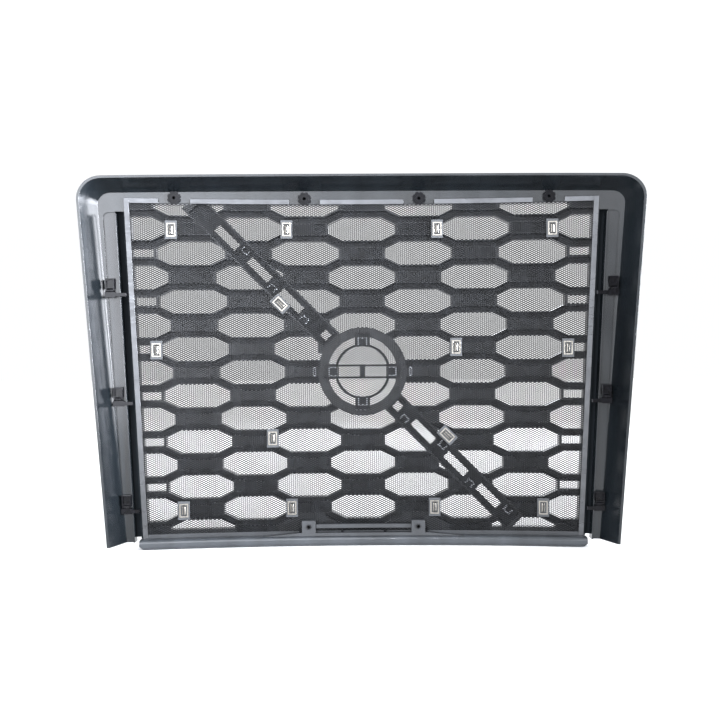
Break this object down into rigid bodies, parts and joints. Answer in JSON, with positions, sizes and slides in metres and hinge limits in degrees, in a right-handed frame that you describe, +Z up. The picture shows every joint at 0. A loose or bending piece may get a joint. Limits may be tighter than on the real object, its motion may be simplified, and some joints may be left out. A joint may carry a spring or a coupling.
{
  "type": "front grille",
  "caption": "Bowed front grille for a heavy vehicle: surround, lattice insert, mesh screen, side latches and fixing points.",
  "frame": {"origin": "centre of the bounding box across and front to back, at its lowest point", "axes": "+X to the right when the back is looked at, +Y forward, the way the vehicle drives, +Z up"},
  "size_m": [1.1241, 0.1453, 0.7603],
  "materials": {
    "outer_moulding": "dark blue-grey semi-gloss moulding",
    "bezel_skin": "smooth dark satin show face",
    "lattice_moulding": "black fine-grained moulding",
    "screen_sheet": "expanded diamond mesh, dull metal",
    "edging_metal": "bright folded metal edging",
    "edging_dark": "dark edging",
    "rail_moulding": "dark grey moulding",
    "bracket_moulding": "mid grey moulding",
    "sleeve_metal": "plain steel",
    "black_hardware": "black plastic",
    "clip_plastic": "pale grey plastic",
    "clip_pad": "dark grey plastic plate",
    "clip_metal": "bright spring steel",
    "latch_plastic": "glossy black plastic"
  },
  "bodies": {
    "frame": {"surround_shell": "outer_moulding", "front_bezel": "bezel_skin", "left_side_rail": "outer_moulding", "right_side_rail": "outer_moulding", "lattice_insert": "lattice_moulding", "screen_mesh": "screen_sheet", "screen_edge_left": "edging_metal", "screen_edge_right": "edging_metal", "screen_edge_top": "edging_metal", "screen_edge_bottom": "edging_dark", "lower_rail": "rail_moulding", "lower_bracket": "bracket_moulding", "bracket_sleeves": "sleeve_metal", "bracket_pegs": "black_hardware", "seat_ring": "lattice_moulding", "seat_bar": "lattice_moulding", "seat_clips": "clip_plastic", "strut_clips": "clip_plastic", "boss_side_clips": "clip_plastic", "screen_clips": "clip_pad", "clip_retainers": "clip_metal", "top_bosses": "black_hardware", "top_collars": "black_hardware", "latch_bodies": "latch_plastic", "latch_pins": "sleeve_metal"},
    "left_upper_latch_lever_body": {"left_upper_latch_lever": "latch_plastic"},
    "right_upper_latch_lever_body": {"right_upper_latch_lever": "latch_plastic"},
    "left_middle_latch_lever_body": {"left_middle_latch_lever": "latch_plastic"},
    "right_middle_latch_lever_body": {"right_middle_latch_lever": "latch_plastic"},
    "left_lower_latch_lever_body": {"left_lower_latch_lever": "latch_plastic"},
    "right_lower_latch_lever_body": {"right_lower_latch_lever": "latch_plastic"}
  },
  "joints": [
    {"name": "left_upper_latch_hinge", "type": "hinge", "parent": "frame", "child": "left_upper_latch_lever_body", "pos_m": [-0.50928, -0.01543, 0.527], "axis": [-1, 0, 0], "range_deg": [0, 25], "stiffness_Nm_per_rad": 0.15},
    {"name": "right_upper_latch_hinge", "type": "hinge", "parent": "frame", "child": "right_upper_latch_lever_body", "pos_m": [0.50928, -0.01543, 0.527], "axis": [-1, 0, 0], "range_deg": [0, 25], "stiffness_Nm_per_rad": 0.15},
    {"name": "left_middle_latch_hinge", "type": "hinge", "parent": "frame", "child": "left_middle_latch_lever_body", "pos_m": [-0.49487, -0.01275, 0.307], "axis": [-1, 0, 0], "range_deg": [0, 25], "stiffness_Nm_per_rad": 0.15},
    {"name": "right_middle_latch_hinge", "type": "hinge", "parent": "frame", "child": "right_middle_latch_lever_body", "pos_m": [0.49487, -0.01275, 0.307], "axis": [-1, 0, 0], "range_deg": [0, 25], "stiffness_Nm_per_rad": 0.15},
    {"name": "left_lower_latch_hinge", "type": "hinge", "parent": "frame", "child": "left_lower_latch_lever_body", "pos_m": [-0.48053, -0.01015, 0.088], "axis": [-1, 0, 0], "range_deg": [0, 25], "stiffness_Nm_per_rad": 0.15},
    {"name": "right_lower_latch_hinge", "type": "hinge", "parent": "frame", "child": "right_lower_latch_lever_body", "pos_m": [0.48053, -0.01015, 0.088], "axis": [-1, 0, 0], "range_deg": [0, 25], "stiffness_Nm_per_rad": 0.15}
  ]
}
